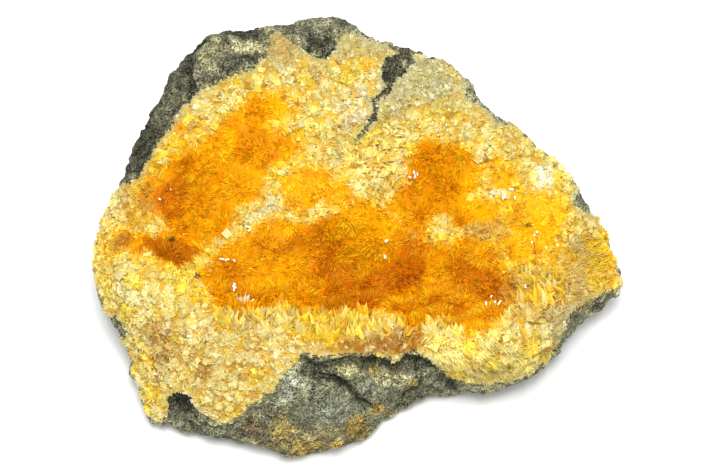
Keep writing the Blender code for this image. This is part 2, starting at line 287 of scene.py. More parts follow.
crust = {
    "barePatch": [
        (6.4, 41.6), (6.9, 45.3), (9.3, 47.5), (13.6, 48), (15.2, 46.4), (12.8, 43.7),
        (10.7, 41.1), (8.8, 38.9),
    ],
    "seam": [(8.3, 39.5), (6.9, 37.6), (4.8, 36.3), (4.5, 32.3), (2.4, 28.3), (0, 25.9)],
    "seamWidth": 0.65,
    "raggedness": ((4.5, 0.9), (1.6, 0.6), (0.8, 0.35)),   # lump size and reach of the ragged edge
    "floorLimit": 3.5,                        # no calcite lower than this, mm
    "sunk": 2.6,                              # how far the stone lies under it
    "bedSunk": 0.3,                           # how far the foot of the crystals lies under the skin
    "sinkWidth": (-0.5, 2.0),
    "edgeLift": 0.15,
    "edgeWidth": 2,
    "bedRoughness": (1.5, 0.2),               # lump size and height
    "thickness": 3.0,
}


def crustReach(known):
    # mm inside the edge of the calcite, negative on bare stone
    reach = insideDistance(known.plane, crustOutline)
    reach = np.minimum(reach, -insideDistance(known.plane, crust["barePatch"]))
    reach = np.minimum(reach, pathDistance(known.plane, crust["seam"]) - crust["seamWidth"])
    reach = np.minimum(reach, (known.facing - plane["facing"]) * plane["facingReach"])
    reach = np.minimum(reach, known.height - crust["floorLimit"])
    for size, height in crust["raggedness"]:
        reach += height * noiseAt(known.points, size, 2.3)
    return reach


skin = buildSkin("calcite")
known = Survey(skin)
print("skin", len(skin.verts), "points", round(100 * (known.reach > 0).mean()), "% under calcite")


# the stone

stone = {
    "lumps": ((11, 1.1), (5, 0.8), (2.2, 0.45), (0.9, 0.25)),          # size and height, mm
    "chunks": ((6.5, 1.0, 0.35), (2.6, 0.45, 0.25)),                   # size, height, crack depth
    "crackWidth": 0.16,
    "chunkWaves": (0.7, 0.45),   # how wavy the cracks are: length and reach against a chunk's size
    "bulges": {    # u, v, reach, height: where the stone stands out of the skin
        "upperLeft": (-42, 50, 13, 2.4),
        "top": (-24, 55, 12, 1.6),
        "rimMiddle": (-52, 42, 6, 2.2),
        "crown": (-10, 57, 7, 1.8),
        "crownRight": (1, 55, 4, 0.6),
        "shoulder": (13, 51, 5, 2.8),
        "frontRight": (20, -45, 10, 1.0),
    },
    "grooves": {   # path, half width, depth
        "underCrust": (
            [(-14.4, -32.4), (-10.4, -34.3), (-5.9, -33), (-0.5, -32.8), (4, -32.8),
             (8.3, -34.3), (10.9, -33.8), (13.6, -32), (18.1, -33), (22.1, -35.8), (25.3, -39)],
            1.1, 2.0,
        ),
        "underLobe": (
            [(-10.4, -36.3), (-4.5, -37.3), (-1.3, -40), (1.3, -43.2), (4.5, -44.5)], 0.55, 1.8,
        ),
        "lobeRight": ([(17, -35), (16, -39), (12.5, -42.5)], 0.5, 1.1),
        "leftHole": ([(-49, -42), (-46, -43.5), (-43, -46)], 2.2, 2.6),
        "rimCrack": ([(-37, 53.5), (-42.5, 48.5), (-44, 42), (-43, 38), (-46, 33.5)], 0.8, 1.3),
        "rimFold": ([(-36, 45.5), (-31, 45), (-26, 46.5), (-24.5, 50)], 0.7, 0.6),
        "rimLedge": ([(-63, 8), (-59, 16), (-55, 25), (-50, 32), (-47, 39)], 0.8, 1.2),
        "topLedge": ([(-22, 56), (-17, 54), (-12, 52), (-6, 52)], 0.7, 1.0),
    },
    "dusting": (("dust", 2.2, 6.0, 0.7), ("dustyCrust", 1.1, 2.4, 0.9)),   # lump size, reach, share
    "fineDust": (0.4, 0.5),      # the finer lumps in it: size and strength against the others
    "dustThins": (0.35, 0.2),    # how much thicker it lies at the crust, and how much less in all
    "lobe": ([(-2, -35.3), (6, -36.8), (12.8, -36.6), (16, -36.6)], 2.4, 1.4),
    "lobeEdge": (0.5, 1.3),
    "calmFace": (-9, -47, 11, 8, 0.7),      # the flat front face, with how calm it is
    "calmEdge": (0.6, 1.2),
    "frontTurn": (-0.1, 0.2),    # how far a face turns to the plane to carry the front's shapes
    "bareEdge": (-1, 0.5),       # mm inside the edge of the calcite where bare stone ends
    "coveredShare": 0.25,        # of its relief that is left under the calcite
    "footFade": (0.2, 2.5),      # mm above the floor where the relief starts and is whole
    "refined": ((1.0, -2.0), (0.5, -0.25)),   # reach and facing: all that is bare, then what shows
    "tintTurn": (-0.3, 0.1),
    "chunkTint": (0.5, 0.7, 0.25),   # how much chunks differ, the painted shade along the cracks between them, how wide
}


def chunksAt(points, size):
    # broken lumps about size mm across: each one's own height from -0.5 to 0.5, and how far
    # from its edge a point is
    heights = np.zeros(len(points))
    edges = np.zeros(len(points))
    waves, reach = stone["chunkWaves"]
    bent = np.stack([noiseAt(points, waves * size, shift) for shift in (2.2, 5.7, 8.6)], axis=1)
    for index, point in enumerate((points / (size * mm) + reach * bent + 3.7).tolist()):
        away, middles = noise.voronoi(point)
        heights[index] = noise.noise(middles[0] * 7.3)
        edges[index] = away[1] - away[0]
    return heights, edges


def stoneHeights(known):
    heights = np.zeros(len(known.points))
    for size, height in stone["lumps"]:
        heights += height * noiseAt(known.points, size, 4.4)
    for size, height, crack in stone["chunks"]:
        own, edge = chunksAt(known.points, size)
        heights += height * own - crack * (1 - smoothStep(0, stone["crackWidth"], edge))
    *place, calm = stone["calmFace"]
    heights *= 1 - calm * (1 - smoothStep(*stone["calmEdge"], spotReach(known.plane, *place)))
    front = smoothStep(*stone["frontTurn"], known.facing)
    for path, halfWidth, depth in stone["grooves"].values():
        away = pathDistance(known.plane, path) / halfWidth
        heights -= front * depth * np.exp(-away ** 2)
    path, halfWidth, height = stone["lobe"]
    away = pathDistance(known.plane, path) / halfWidth
    heights += front * height * (1 - smoothStep(*stone["lobeEdge"], away))
    bare = 1 - smoothStep(*stone["bareEdge"], known.reach)
    heights *= stone["coveredShare"] + (1 - stone["coveredShare"]) * bare
    heights -= crust["sunk"] * smoothStep(*crust["sinkWidth"], known.reach)
    for u, v, reach, height in stone["bulges"].values():
        away = np.hypot(known.plane[:, 0] - u, known.plane[:, 1] - v) / reach
        heights += height * np.exp(-away ** 2) * bare
    return heights * smoothStep(*stone["footFade"], known.height)


stoneSpots = (   # soft spots of colour: place and half sizes in mm, colour, strength
    # the far rim; its pale moss spots are partly painted highlight on the ledge
    (-57, 24, 9, 14, "basaltDarkAndShade", 0.8), (-47, 38, 6, 6, "basaltDarkAndShade", 0.3),
    (-10, 55, 9, 3.5, "dust", 0.7), (-9.5, 49.8, 4.5, 3, "basaltDarkAndShade", 0.85),
    (-31.5, 52.8, 5.5, 2, "basaltDarkAndShade", 0.85), (-37, 48.3, 3.5, 1.6, "mossAndHighlight", 0.5),
    (-38.8, 45.6, 2.4, 3.2, "mossAndHighlight", 0.75), (-28.5, 48.6, 4, 1.6, "mossAndHighlight", 0.95),
    (-31, 45.3, 6, 1.4, "basaltDarkAndShade", 0.4), (-40.5, 41.5, 2.5, 2, "dust", 0.8),
    (-52, 31, 2.5, 2.5, "dust", 0.4),
    # the bare patch and the front
    (9.5, 44.5, 4.5, 5, "basaltDarkAndShade", 0.85), (-2, -46, 26, 12, "slate", 0.85),
    (-6, -47, 6, 6, "basaltBlue", 0.45), (-17.5, -38.5, 3, 3.5, "chalk", 0.45),
    # pale moss on the lobe's top, partly painted highlight
    (6, -36.3, 8, 2.8, "mossAndHighlight", 0.75), (-2.5, -34, 5, 1.9, "mossAndHighlight", 1.0),
    (3, -39, 2.6, 2.2, "basaltBlue", 0.8),
    # ochre stains
    (-12, -54.5, 14, 4, "ochre", 0.3), (0, -50.5, 3.6, 2.4, "ochre", 0.8),
    (6, -46, 3, 1.6, "ochre", 0.6), (-13, -55.5, 4, 2.0, "ochre", 0.6),
    (-5.5, -55.5, 2, 1.6, "ochre", 0.7), (-20, -50.5, 3.5, 3, "ochre", 0.45),
    (14, -39, 2, 1.4, "ochre", 0.6), (4.5, -34.6, 2.4, 1.0, "ochre", 0.6),
    # the left and right ends
    # the second dark spot here is painted shade in the hole at the left end
    (-28.5, -50.5, 3, 3, "umberAndShade", 0.5), (-46.5, -43, 4.5, 4, "basaltDarkAndShade", 0.9),
    (-62, -24, 3, 5, "basaltDarkAndShade", 0.6), (60, -20, 7, 7, "slate", 0.7),
    (58, -18, 4, 3, "olive", 0.35), (60, 8, 4, 4, "slate", 0.6),
)
stoneStreaks = (   # lines of colour, mostly painted shade: path, half width, colour, strength
    ([(-70, -4), (-66, 10), (-60, 24), (-50, 38), (-40, 49), (-26, 57), (-6, 58), (8, 56)],
            9, "basaltDarkAndShade", 0.15),
    # painted shade in the rim crack, under the crust, in the rim fold, under the lobe and in the
    # groove right of it
    (stone["grooves"]["rimCrack"][0], 1.3, "basaltDarkAndShade", 0.85),
    (stone["grooves"]["underCrust"][0], 1.2, "basaltDarkAndShade", 0.8),
    ([(-35.5, 44), (-32, 45.6), (-25, 47.2)], 1.0, "basaltDarkAndShade", 0.75),
    (stone["grooves"]["underLobe"][0], 0.8, "basaltDarkAndShade", 0.8),
    (stone["grooves"]["lobeRight"][0], 0.7, "basaltDarkAndShade", 0.6),
    ([(-15.5, -36.5), (-18, -39.5), (-17.3, -42.5), (-21, -45)], 0.9, "chalk", 0.7),
    # painted shade in the seam
    (crust["seam"], 1.2, "basaltDarkAndShade", 0.7),
)


def newMaterial(name, roughness):
    material = bpy.data.materials.new(name)
    material.use_nodes = True
    shader = material.node_tree.nodes["Principled BSDF"]
    shader.inputs["Roughness"].default_value = roughness
    return material, material.node_tree, shader


def tintOf(tree):
    node = tree.nodes.new("ShaderNodeAttribute")
    node.attribute_name = "tint"
    return node.outputs["Color"]


def patternOf(tree, kind, size, **settings):
    # a pattern on Object coordinates, with lumps size mm across
    place = tree.nodes.new("ShaderNodeTexCoord")
    node = tree.nodes.new(kind)
    node.inputs["Scale"].default_value = 1 / (size * mm)
    for key, value in settings.items():
        node.inputs[key].default_value = value
    tree.links.new(place.outputs["Object"], node.inputs["Vector"])
    return node


def rangeOf(tree, source, seen, given):
    node = tree.nodes.new("ShaderNodeMapRange")
    for key, value in zip(("From Min", "From Max", "To Min", "To Max"), (*seen, *given)):
        node.inputs[key].default_value = value
    tree.links.new(source, node.inputs["Value"])
    return node.outputs["Result"]


def blendOf(tree, kind, factor, first, second):
    mix = tree.nodes.new("ShaderNodeMix")
    mix.data_type = "RGBA"
    mix.blend_type = kind
    for key, value in (("Factor", factor), ("A", first), ("B", second)):
        if isinstance(value, bpy.types.NodeSocket):
            tree.links.new(value, mix.inputs[key])
        else:
            mix.inputs[key].default_value = value
    return mix.outputs["Result"]


stoneLook = {
    "roughness": 0.7,
    "specular": 0.25,
    "grain": (   # lump size in mm, detail, roughness, what is seen of the noise, how bright it gets
        (0.48, 2, 0.6, (0.36, 0.64), (0.18, 2.1)),
        (2.4, 4, 0.65, (0.35, 0.65), (0.7, 1.35)),
        (6, 4, 0.6, (0.3, 0.7), (0.8, 1.2)),
    ),
    "speck": (0.42, 0.42, 0.34, 1),      # pale grains in the dark stone
    "speckSize": 0.34,
    "speckSeen": (0.75, 0.95),
    "speckShare": 0.4,
    "bump": 0.8,
    "bumpHeight": 0.4,
}


def stoneMaterial():
    material, tree, shader = newMaterial("basalt", stoneLook["roughness"])
    shader.inputs["Specular IOR Level"].default_value = stoneLook["specular"]
    colour = tintOf(tree)
    noises = []
    for size, detail, roughness, seen, bright in stoneLook["grain"]:
        lumps = patternOf(tree, "ShaderNodeTexNoise", size, Detail=detail, Roughness=roughness)
        noises.append(lumps.outputs["Fac"])
        colour = blendOf(tree, "MULTIPLY", 1, colour, rangeOf(tree, noises[-1], seen, bright))
    specks = patternOf(tree, "ShaderNodeTexVoronoi", stoneLook["speckSize"], Randomness=1)
    value = tree.nodes.new("ShaderNodeSeparateColor")
    tree.links.new(specks.outputs["Color"], value.inputs["Color"])
    given = (0, stoneLook["speckShare"])
    share = rangeOf(tree, value.outputs["Red"], stoneLook["speckSeen"], given)
    colour = blendOf(tree, "MIX", share, colour, stoneLook["speck"])
    tree.links.new(colour, shader.inputs["Base Color"])
    bump = tree.nodes.new("ShaderNodeBump")
    bump.inputs["Strength"].default_value = stoneLook["bump"]
    bump.inputs["Distance"].default_value = stoneLook["bumpHeight"] * mm
    tree.links.new(noises[0], bump.inputs["Height"])
    tree.links.new(bump.outputs["Normal"], shader.inputs["Normal"])
    return material


def setTint(mesh, colours, domain="POINT"):
    layer = mesh.color_attributes.new("tint", "FLOAT_COLOR", domain)
    rows = np.ones((len(colours), 4), np.float32)
    rows[:, :3] = np.clip(colours, 0, 1)
    layer.data.foreach_set("color", rows.ravel())


def asPiece(name, mesh, material):
    piece = placed(name, mesh)
    mesh.materials.append(material)
    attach(piece, "root")
    return piece


def moveTo(bm, points):
    for vert, point in zip(bm.verts, points):
        vert.co = point


def buildStone():
    bm = buildSkin("stone")
    for reach, facing in stone["refined"]:
        rough = Survey(bm)
        fine = [
            e for e in bm.edges
            if all(rough.facing[v.index] > facing and rough.reach[v.index] < reach for v in e.verts)
        ]
        bmesh.ops.subdivide_edges(bm, edges=fine, cuts=1, use_grid_fill=True)
        smooth(bm, [v for v in bm.verts if v.co.z > 0.1 * mm], 0.5)
    refined = Survey(bm)
    points = refined.moved(stoneHeights(refined))
    points[:, 2] = np.maximum(points[:, 2], 0)
    moveTo(bm, points)
    bmesh.ops.triangulate(bm, faces=[f for f in bm.faces if len(f.verts) > 4])
    mesh = meshOf(bm, "basalt")
    mesh.shade_smooth()
    plain = np.tile(linear("basalt"), (len(refined.points), 1))
    front = smoothStep(*stone["tintTurn"], refined.facing)
    tint = plain
    finer, strength = stone["fineDust"]
    thicker, less = stone["dustThins"]
    for tone, size, reach, share in stone["dusting"]:      # thin crust beyond the crust's edge
        lumps = noiseAt(refined.points, size, 5.8)
        lumps = lumps + strength * noiseAt(refined.points, finer * size, 2.6)
        near = smoothStep(-reach, 0, refined.reach)
        dusted = smoothStep(0, 0.25, lumps + thicker * near - less)
        dusted *= smoothStep(-reach, -0.4 * reach, refined.reach) * front
        tint = mixed(tint, linear(tone), share * dusted)
    tint = paint(refined.points, tint, stoneSpots, stoneStreaks, (1.6, 1.0), 0.7)
    tint = mixed(plain, tint, front)
    differ, crackShadeTone, edgeWidth = stone["chunkTint"]
    for size, height, crack in stone["chunks"]:
        own, edge = chunksAt(refined.points, size)
        # painted shade along the cracks between chunks
        edge = crackShadeTone + (1 - crackShadeTone) * smoothStep(0, edgeWidth, edge)
        tint *= ((1 + differ * own) * edge)[:, None]
    setTint(mesh, tint)
    piece = asPiece("basalt_stone", mesh, stoneMaterial())
    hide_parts("basalt_matrix")
    print("stone", sum(len(p.vertices) - 2 for p in mesh.polygons), "triangles")


buildStone()


# the calcite

ridgeSpots = (
    # the far side
    (-7, 42, 15, 9, "straw", 0.6), (4, 33, 9, 6, "pale", 0.6), (29, 32, 13, 8, "straw", 0.5),
    (2, 51, 12, 5, "honey", 0.35),
    # right
    (46, 18, 10, 8, "lemon", 0.8), (45, 19, 7, 6, "honey", 0.35), (57, 4, 7, 8, "straw", 0.6),
    (64.5, -7, 6, 9, "gold", 1.0), (56, -7, 3.5, 7, "honey", 0.35), (57, 4, 5, 6, "honey", 0.25),
    # left
    (-67, -4, 5, 9, "gold", 0.5), (-59.5, -1.5, 4.5, 5, "honey", 0.65),
    (-58, 9, 5, 7, "honey", 0.9), (-50, 23, 7, 9, "amber", 0.9), (-50, 23, 6, 8, "orange", 0.75),
    # between the pockets
    (-18, 34, 6, 5, "amber", 0.6), (-18, 22, 8, 5, "gold", 0.6), (-10, 30, 7, 6, "lemon", 0.7),
    (-52, -15.5, 12, 6, "lemon", 0.9), (-54, -15, 8, 4, "cream", 0.5),
    (-24, 6.5, 9, 4, "cream", 0.9), (-7, 3.8, 9, 2.4, "straw", 0.8), (5, 22, 9, 7, "bright", 0.95),
    (13, 14, 4, 8, "pale", 0.8),
    # right of them
    (34.5, 1.5, 7, 3, "honey", 1.0), (48, -4, 9, 6, "gold", 0.8), (19, 1.5, 8, 2.6, "straw", 0.8),
    (41, -13.5, 5, 5, "honey", 0.75), (48, -16, 5, 4, "gold", 0.95),
    # deeper ones on the left
    (-50.5, 23, 5, 5, "gold", 0.7), (-58, 8.5, 3, 5, "amber", 0.5),
    # the near rim
    (-7, -23.5, 14, 4, "gold", 0.95), (0, -29, 12, 2, "honey", 0.8),
    (11.5, -27.5, 6, 3.5, "brown", 0.7), (24, -29, 10, 4.5, "bright", 0.9),
    (43, -31, 12, 6, "lemon", 0.7),
    # the lower left and the slopes
    (-36, -30, 16, 14, "straw", 0.7), (-20, -26, 8, 6, "straw", 0.6),
    (-51, -29, 5, 5, "honey", 0.5), (-38, -30, 17, 14, "honey", 0.22),
    (52, -12, 14, 20, "honey", 0.2), (57, -20, 6, 7, "honey", 0.5),
    (-40.5, -33.5, 2.6, 3, "honey", 0.7), (-29.9, -47.5, 2.8, 2.4, "honey", 0.7),
)

pockets = {   # where the crystals grew fine, long and deep in colour: how fine, colour and outline
    "left": (1.0, "orange", [
        (-57.6, 5.6), (-58, 12), (-51.2, 17.6), (-46.4, 22.1), (-40.5, 26.1), (-35.2, 29.9),
        (-31.2, 34.4), (-25.9, 37.3), (-20.3, 37.1), (-18.1, 34.1), (-23.2, 30.4), (-18.9, 26.7),
        (-14.7, 22.9), (-25.1, 18.7), (-25.3, 10.9), (-31.2, 7.7), (-34.1, 3.2), (-36, -1.1),
        (-41.1, -1.6), (-42.7, -6.9), (-47.7, -7.5), (-55.7, -4.5), (-64, -5), (-66, -2),
        (-61, 1.5), (-53.1, -0.5), (-49.6, 1.6), (-52.5, 6.4),
    ]),
    "front": (1.0, "orange", [
        (-41.6, -9.6), (-38.7, -6.9), (-36, -2.4), (-29.9, 0), (-24.5, 3.2), (-15.2, 3.7),
        (-4.3, 5.9), (-1.9, 8.5), (2.9, 8.5), (7.7, 6.9), (11.5, 4), (14.7, 0), (18.9, -2.1),
        (23.5, -2.4), (26.7, -0.3), (31.5, 0.3), (35.7, -1.3), (38.4, -9.1), (41.6, -12),
        (41.9, -17.1), (35.5, -22.1), (33.3, -25.1), (27.7, -25.9), (24.5, -22.9), (19.5, -21.3),
        (17.9, -24), (13.3, -25.1), (10.9, -21.9), (7.7, -20), (-1.9, -20.3), (-9.9, -21.1),
        (-14.1, -19.5), (-23.2, -19.7), (-31.2, -21.1), (-36.3, -19.2),
    ]),
    "upper": (1.0, "orange", [
        (9.9, 10.7), (12.8, 14.7), (13.9, 18.9), (14.9, 22.9), (17.9, 24.8), (22.4, 25.1),
        (29.9, 22.1), (30.4, 18.9), (34.4, 18.7), (31.7, 13.3), (30.4, 9.9), (38.4, 8),
        (38.1, 2.4), (31.7, 3.7), (27.5, 2.9), (22.4, 5.9), (18.4, 3.7), (16.8, 0), (12.5, 2.7),
        (7.5, 6.4),
    ]),
    "right": (0.85, "gold", [
        (36.5, 18.7), (40.8, 18.1), (42.4, 11.2), (48, 10.9), (54.1, 9.6), (55.7, 5.9),
        (53.1, 1.3), (50.1, -2.9), (45.1, -6.9), (40.8, -6.1), (36.8, -0.5), (38.9, 8.3),
        (35.5, 12.3),
    ]),
    "middle": (0.8, "amber", [
        (-20, 14.4), (-15.7, 17.1), (-8.5, 17.3), (-4.5, 13.9), (-1.1, 10.1), (-4.5, 7.5),
        (-10.1, 9.3), (-14.9, 6.4), (-18.7, 8.3),
    ]),
}
pocketEdge = {
    "wander": ((3.6, 1.6), (1.4, 0.8)),      # lump size and reach, mm
    "width": 0.9,
    "toneWidth": (-2, 0),
}

pocketSpots = (
    # the left pocket
    (-24, 33, 8, 5, "amber", 0.8), (-19, 35.5, 5, 3, "amber", 0.8), (-38, 25, 8, 4, "amber", 0.6),
    (-30, 14, 5, 8, "amber", 0.7), (-56, 8, 3, 6, "honey", 0.8), (-62.5, -2.5, 4, 3, "honey", 0.6),
    # the front one
    (2.5, 2.5, 8, 5, "amber", 0.85), (-27, -5, 7, 5, "rustPale", 0.2),
    (-18.5, -8.5, 4, 3.5, "amber", 0.7), (-5.9, -7, 2.6, 2.6, "amber", 0.7),
    (33, -13, 10, 8, "rustPale", 0.35),
    # the upper, right and middle ones
    (33, 10, 6, 9, "amber", 0.85), (20, 15, 6, 7, "deepOrange", 0.5),
    (44.5, -0.3, 7, 3.5, "amber", 0.7), (49, 3.5, 3, 1.5, "amber", 0.6),
    (-11, 13, 3.5, 3, "amber", 0.8),
    # darker rust painted as shade in the deepest places
    (-4, -11.5, 5, 4, "umberRustAndShade", 0.38), (11, -9, 4, 2.5, "umberRustAndShade", 0.4),
    (-4, -17.5, 4, 2.5, "umberRustAndShade", 0.4),
)
pocketStreaks = (
    ([(-26.7, 32.3), (-29.3, 28.3), (-30.7, 22)], 2.5, "deepOrange", 0.6),
    ([(-50.5, 6), (-51, 10), (-48, 12.3)], 3.4, "rust", 0.9),
    ([(-54, -2.6), (-48, -4), (-44, -5.5)], 2.9, "umberRustAndShade", 0.95),
    ([(-37, -8), (-33.5, -9.5), (-32, -12)], 2.8, "rust", 0.5),
    ([(-20, -4), (-15.5, -1.5)], 2.4, "rust", 0.5),
    ([(-11, 1), (-9, -4), (-9, -9)], 2.4, "rust", 0.5),
    ([(-9, -8), (-4, -11), (-4, -15), (-6, -18)], 3.6, "rust", 0.7),
    ([(16, -2), (14, -8), (7, -12.5), (1.5, -16)], 4, "rust", 0.9),
    ([(21, -17.5), (27, -19)], 2, "rust", 0.6),
    ([(28, -12), (34, -13), (38, -14)], 3.4, "rust", 0.7),
    ([(28, -7), (30.5, -9)], 2, "rust", 0.6),
)
pocketPatches = (   # lump size in mm, place in the noise, colour and strength
    (4.5, 1.4, "amber", 0.4),
    (3.4, 6.2, "rust", 0.55),
    (1.5, 3.3, "deepOrange", 0.5),
    (1.2, 8.8, "amber", 0.4),
)


def pocketInside(points):
    # mm inside the nearest pocket's ragged edge, and how fine that pocket is
    uv = toPlane(points)
    ragged = sum(reach * noiseAt(points, size, 6.6) for size, reach in pocketEdge["wander"])
    insides = [insideDistance(uv, outline) for strength, tone, outline in pockets.values()]
    strengths = np.array([pocket[0] for pocket in pockets.values()])
    return np.max(insides, axis=0) + ragged, strengths[np.argmax(insides, axis=0)]


def pocketShare(points):
    inside, strength = pocketInside(points)
    return strength * smoothStep(-1, 1, inside / pocketEdge["width"])


def pocketColour(points):
    uv = toPlane(points)
    colour = np.tile(linear("orange"), (len(points), 1))
    for strength, tone, outline in pockets.values():
        inside = smoothStep(*pocketEdge["toneWidth"], insideDistance(uv, outline))[:, None]
        colour = colour * (1 - inside) + linear(tone) * inside
    colour = dappled(points, colour, pocketPatches, (0.12, 0.4))
    return paint(points, colour, pocketSpots, pocketStreaks, (1.2, 0.8))


skinPocket = pocketShare(known.points)
skinRelief = reliefOf(skin, known)

clumps = {   # the crystals grew in round clumps, each with a middle that they spread from
    "spacing": (4.6, 11.0),     # mm between middles, on the ridges and in the pockets
    "unlike": (0.6, 1.6),       # the least and the most of that room that one takes
    "inside": 0.5,
    "tries": 9000,
    "waver": (2.5, 1.3),        # how wavy the clefts between them are: length and reach
    "height": (0.9, 0.4),
    "tones": (("cream", 3), ("lemonPale", 3), ("straw", 2), ("pale", 2), ("gold", 2), ("honey", 1)),
    "toneShare": 0.35,
    "rootShade": (0.97, 0.74, 0.16),      # painted shade: what the tone at a crystal's root is multiplied by
    "rootShadeEdge": (0.1, 1.4),
    # painted shade in the clefts between clumps: how far it reaches and how strong it is
    "creviceShadeWidth": (0.02, 0.2),
    "creviceShadeShare": 0.4,
    "domeWidth": 0.6,
    "domeMiddle": 0.4,
}


class Clumps:
    def __init__(self, rng):
        able = np.flatnonzero(known.reach > clumps["inside"])
        middles = []
        room = []
        tries = rng.choice(able, clumps["tries"], replace=False)
        for index in tries:
            point = known.points[index]
            need = np.interp(skinPocket[index], (0, 1), clumps["spacing"])
            need *= rng.uniform(*clumps["unlike"])
            if middles:
                away = np.linalg.norm(np.array(middles) - point, axis=1) / mm
                if (away < np.minimum(need, room)).any():
                    continue
            middles.append(point)
            room.append(need)
        self.middles = np.array(middles)
        self.room = np.array(room)
        names = [name for name, weight in clumps["tones"]]
        odds = np.array([weight for name, weight in clumps["tones"]], float)
        picks = rng.choice(len(names), len(middles), p=odds / odds.sum())
        self.tones = np.array([linear(name) for name in names])[picks]
        tree = KDTree(len(middles))
        for index, middle in enumerate(middles):
            tree.insert(middle, index)
        tree.balance()
        length, reach = clumps["waver"]
        waver = [noiseAt(known.points, length, shift) for shift in (1.7, 4.9, 7.3)]
        asked = known.points + np.stack(waver, axis=1) * reach * mm
        found = [tree.find_n(point, 2) for point in asked]
        self.nearest = np.array([near[0][1] for near in found])
        near, far = np.array([[hit[2] for hit in hits] for hits in found]).T
        self.depth = (far - near) / (far + near)      # 0 between clumps, 1 in the middle of one


clumped = Clumps(np.random.default_rng(21))
print(len(clumped.middles), "clumps of crystals")


reliefCreamAndHighlight = ((0.2, 1.6), "cream", 0.4)     # cream where the skin stands out, in mm, partly painted highlight on the raised parts
greyWidth = 0.1                             # how near a tone is to dust to count as dusty
patches = (   # lump size in mm, place in the noise, colour and strength
    (9, 2.7, "lemon", 0.35),
    (6, 7.9, "cream", 0.35),
    (3.2, 5.1, "honey", 0.45),
    (2.6, 9.4, "pale", 0.4),
    (2.2, 1.3, "gold", 0.35),
    (1.3, 3.9, "honey", 0.35),
    (1.1, 8.3, "snow", 0.3),
)
halo = {"gold": (4.5, 0.75), "amber": (1.8, 0.7)}   # round each pocket: reach in mm and strength
edgeDust = {   # stone dust along the edge of the crust
    "reach": (0.3, 2.8),
    "share": ((0, 25), (0.35, 0.75)),     # height on the plane, mm, and how much lies there
}
marks = (   # small things on the finished crust
    # dust
    (18, 42.5, 9, 7, "dustyCrust", 0.8), (10, 36, 4.5, 6, "dustyCrust", 0.7),
    (25, 38, 7, 5, "dustyCrust", 0.5), (-20, 50.5, 5, 6, "dust", 0.8),
    (-20, 50, 5, 5, "honey", 0.45), (55, -23, 6, 6, "dustyCrust", 0.6),
    (2, 51, 12, 4, "dustyCrust", 0.6),
    # honey and brown on the ridges
    (34.5, 1.5, 6, 3, "honey", 0.8), (41, -14.4, 4, 4, "honey", 0.5),
    (5, -29, 11, 1.8, "brown", 0.8), (11.5, -27, 6, 2.5, "umberRustAndShade", 0.4),
    # white crystals
    (49.1, 15.5, 3.4, 3, "snow", 0.85), (37.5, 11.5, 3, 1.2, "snow", 0.7),
    (-43, -23, 2, 1.6, "snow", 0.6), (-30, -17, 1.6, 1.2, "snow", 0.6),
    # brown patches
    (-58, 8, 3.5, 5, "brown", 0.3), (-53, -26, 4, 3, "brown", 0.5),
    (-50.5, -31.5, 3.2, 2.2, "brown", 0.6), (-40.5, -34.5, 1.6, 2.6, "brown", 0.6),
    # holes: dark spots painted as the shade inside them
    (19.5, 0.3, 0.7, 0.6, "umberAndShade", 0.9), (36, 18.4, 0.6, 0.5, "umberAndShade", 0.9),
    (45, 2.9, 0.6, 0.5, "umberAndShade", 0.9), (-41.9, -10.4, 0.9, 0.7, "umberAndShade", 0.9),
    (-48.9, -0.9, 0.8, 0.8, "basaltDarkAndShade", 0.95), (24, 32, 1.4, 0.8, "brown", 0.6),
)


def paintedCalcite():
    tint = np.tile(linear("lemon"), (len(known.points), 1))
    # cream where the skin stands out, partly painted highlight
    seen, tone, strength = reliefCreamAndHighlight
    tint = mixed(tint, linear(tone), smoothStep(*seen, skinRelief) * strength)
    tint = dappled(known.points, tint, patches, (0.1, 0.45))
    tint = paint(known.points, tint, ridgeSpots)
    varied = clumped.tones / clumped.tones.mean(axis=0)
    tint *= varied[clumped.nearest] ** clumps["toneShare"]
    away = -pocketInside(known.points)[0]
    for tone, (reach, strength) in halo.items():
        tint = mixed(tint, linear(tone), strength * (1 - smoothStep(0, reach, away)))
    # painted shade in the clefts between clumps
    creviceShadeAndBrown = 1 - smoothStep(*clumps["creviceShadeWidth"], clumped.depth)
    tint = mixed(tint, linear("creviceShadeAndBrown"), creviceShadeAndBrown * clumps["creviceShadeShare"])
    tint = mixed(tint, pocketColour(known.points), skinPocket)
    dust = np.interp(known.plane[:, 1], *edgeDust["share"])
    dust *= 1 - smoothStep(*edgeDust["reach"], known.reach + noiseAt(known.points, 2, 3.4))
    tint = mixed(tint, linear("dustyCrust"), dust)
    return paint(known.points, tint, marks, wander=(0.5, 0.3), ragged=0.3)


skinTint = paintedCalcite()
offDust = np.linalg.norm(skinTint - linear("dustyCrust"), axis=1)
greyness = np.exp(-(offDust / greyWidth) ** 2)
# painted shade at the crystals' roots and on the bed between them, kept off dusty crust and its
# edge
rootShading = ((1 - greyness) * smoothStep(*clumps["rootShadeEdge"], known.reach))[:, None]
rootShadeTone = 1 + rootShading * (np.array(clumps["rootShade"]) - 1)
dome = smoothStep(0, clumps["domeWidth"], clumped.depth) - clumps["domeMiddle"]
bedLift = -crust["bedSunk"] + np.interp(skinPocket, (0, 1), clumps["height"]) * dome
bedLift = crust["edgeLift"] + smoothStep(0, crust["edgeWidth"], known.reach) * bedLift

